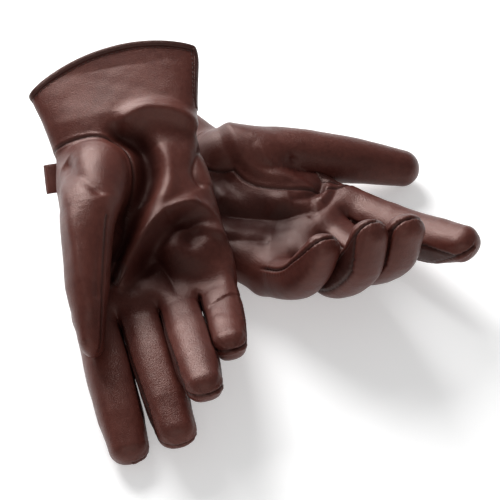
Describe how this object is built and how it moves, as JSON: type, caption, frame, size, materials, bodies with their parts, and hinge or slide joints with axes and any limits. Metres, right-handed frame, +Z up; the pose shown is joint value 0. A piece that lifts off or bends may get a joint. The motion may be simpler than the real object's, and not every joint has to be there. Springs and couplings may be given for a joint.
{
  "type": "leather gloves",
  "caption": "Pair of lined leather dress gloves, one lying palm up with curled fingers and the other leaning across its wrist, fingers down.",
  "frame": {"origin": "middle of the flat patch on the back of the left glove's palm, where the pair rests", "axes": "+Z up, +X along the left glove towards its fingertips, +Y towards the left glove's thumb"},
  "size_m": [0.2686, 0.2774, 0.0901],
  "materials": {
    "leather": "semi-gloss",
    "edge": "semi-gloss",
    "lining": "matte"
  },
  "bodies": {
    "left_hand": {"left_hand_leather": "leather", "left_hand_lining": "lining", "left_cuff_binding": "edge", "left_wrist_strap": "leather", "left_thumb_quirk": "edge", "left_thumb_heel": "leather"},
    "left_thumb": {"left_thumb_leather": "leather", "left_thumb_lining": "lining"},
    "left_index": {"left_index_leather": "leather", "left_index_fourchette": "edge", "left_index_lining": "lining"},
    "left_middle": {"left_middle_front": "leather", "left_middle_back": "leather", "left_middle_thumb_side_fourchette": "edge", "left_middle_far_side_fourchette": "edge", "left_middle_lining": "lining"},
    "left_ring": {"left_ring_front": "leather", "left_ring_back": "leather", "left_ring_thumb_side_fourchette": "edge", "left_ring_far_side_fourchette": "edge", "left_ring_lining": "lining"},
    "left_little": {"left_little_front": "leather", "left_little_back": "leather", "left_little_fourchette": "edge", "left_little_lining": "lining"},
    "right_hand": {"right_hand_leather": "leather", "right_hand_lining": "lining", "right_cuff_binding": "edge", "right_wrist_strap": "leather", "right_thumb_quirk": "edge", "right_thumb_heel": "leather"},
    "right_thumb": {"right_thumb_leather": "leather", "right_thumb_lining": "lining"},
    "right_index": {"right_index_leather": "leather", "right_index_fourchette": "edge", "right_index_lining": "lining"},
    "right_middle": {"right_middle_front": "leather", "right_middle_back": "leather", "right_middle_thumb_side_fourchette": "edge", "right_middle_far_side_fourchette": "edge", "right_middle_lining": "lining"},
    "right_ring": {"right_ring_front": "leather", "right_ring_back": "leather", "right_ring_thumb_side_fourchette": "edge", "right_ring_far_side_fourchette": "edge", "right_ring_lining": "lining"},
    "right_little": {"right_little_front": "leather", "right_little_back": "leather", "right_little_fourchette": "edge", "right_little_lining": "lining"}
  },
  "joints": [
    {"name": "left_thumb_bend", "type": "hinge", "parent": "left_hand", "child": "left_thumb", "pos_m": [-0.00056, 0.04759, 0.02726], "axis": [0.6133, -0.785, -0.0872], "range_deg": [0, 25]},
    {"name": "left_index_bend", "type": "hinge", "parent": "left_hand", "child": "left_index", "pos_m": [0.044, 0.0351, 0.01732], "axis": [-0.0347, -0.9939, -0.1045], "range_deg": [-15, 25]},
    {"name": "left_middle_bend", "type": "hinge", "parent": "left_hand", "child": "left_middle", "pos_m": [0.046, 0.0117, 0.01732], "axis": [-0.4192, -0.8595, 0.2924], "range_deg": [-10, 20]},
    {"name": "left_ring_bend", "type": "hinge", "parent": "left_hand", "child": "left_ring", "pos_m": [0.044, -0.0117, 0.01732], "axis": [-0.4192, -0.8595, 0.2924], "range_deg": [-10, 20]},
    {"name": "left_little_bend", "type": "hinge", "parent": "left_hand", "child": "left_little", "pos_m": [0.036, -0.03463, 0.01732], "axis": [-0.4353, -0.8187, 0.3746], "range_deg": [-15, 13]},
    {"name": "right_glove_lift", "type": "slide", "parent": "left_hand", "child": "right_hand", "axis": [0, 0, 1], "range_m": [0, 0.15]},
    {"name": "right_thumb_bend", "type": "hinge", "parent": "right_hand", "child": "right_thumb", "pos_m": [-0.0426, -0.10049, 0.06313], "axis": [-0.7964, -0.5337, -0.2844], "range_deg": [0, 35]},
    {"name": "right_index_bend", "type": "hinge", "parent": "right_hand", "child": "right_index", "pos_m": [-0.02277, -0.12092, 0.01953], "axis": [-0.6343, -0.7726, -0.0268], "range_deg": [0, 4]},
    {"name": "right_middle_bend", "type": "hinge", "parent": "right_hand", "child": "right_middle", "pos_m": [-0.00529, -0.10528, 0.02053], "axis": [-0.6085, -0.7926, -0.039], "range_deg": [-6, 12]},
    {"name": "right_ring_bend", "type": "hinge", "parent": "right_hand", "child": "right_ring", "pos_m": [0.00942, -0.08713, 0.02296], "axis": [-0.6469, -0.7588, -0.0757], "range_deg": [-8, 16]},
    {"name": "right_little_bend", "type": "hinge", "parent": "right_hand", "child": "right_little", "pos_m": [0.01965, -0.06558, 0.02751], "axis": [-0.6916, -0.7167, -0.0895], "range_deg": [-8, 15]}
  ]
}
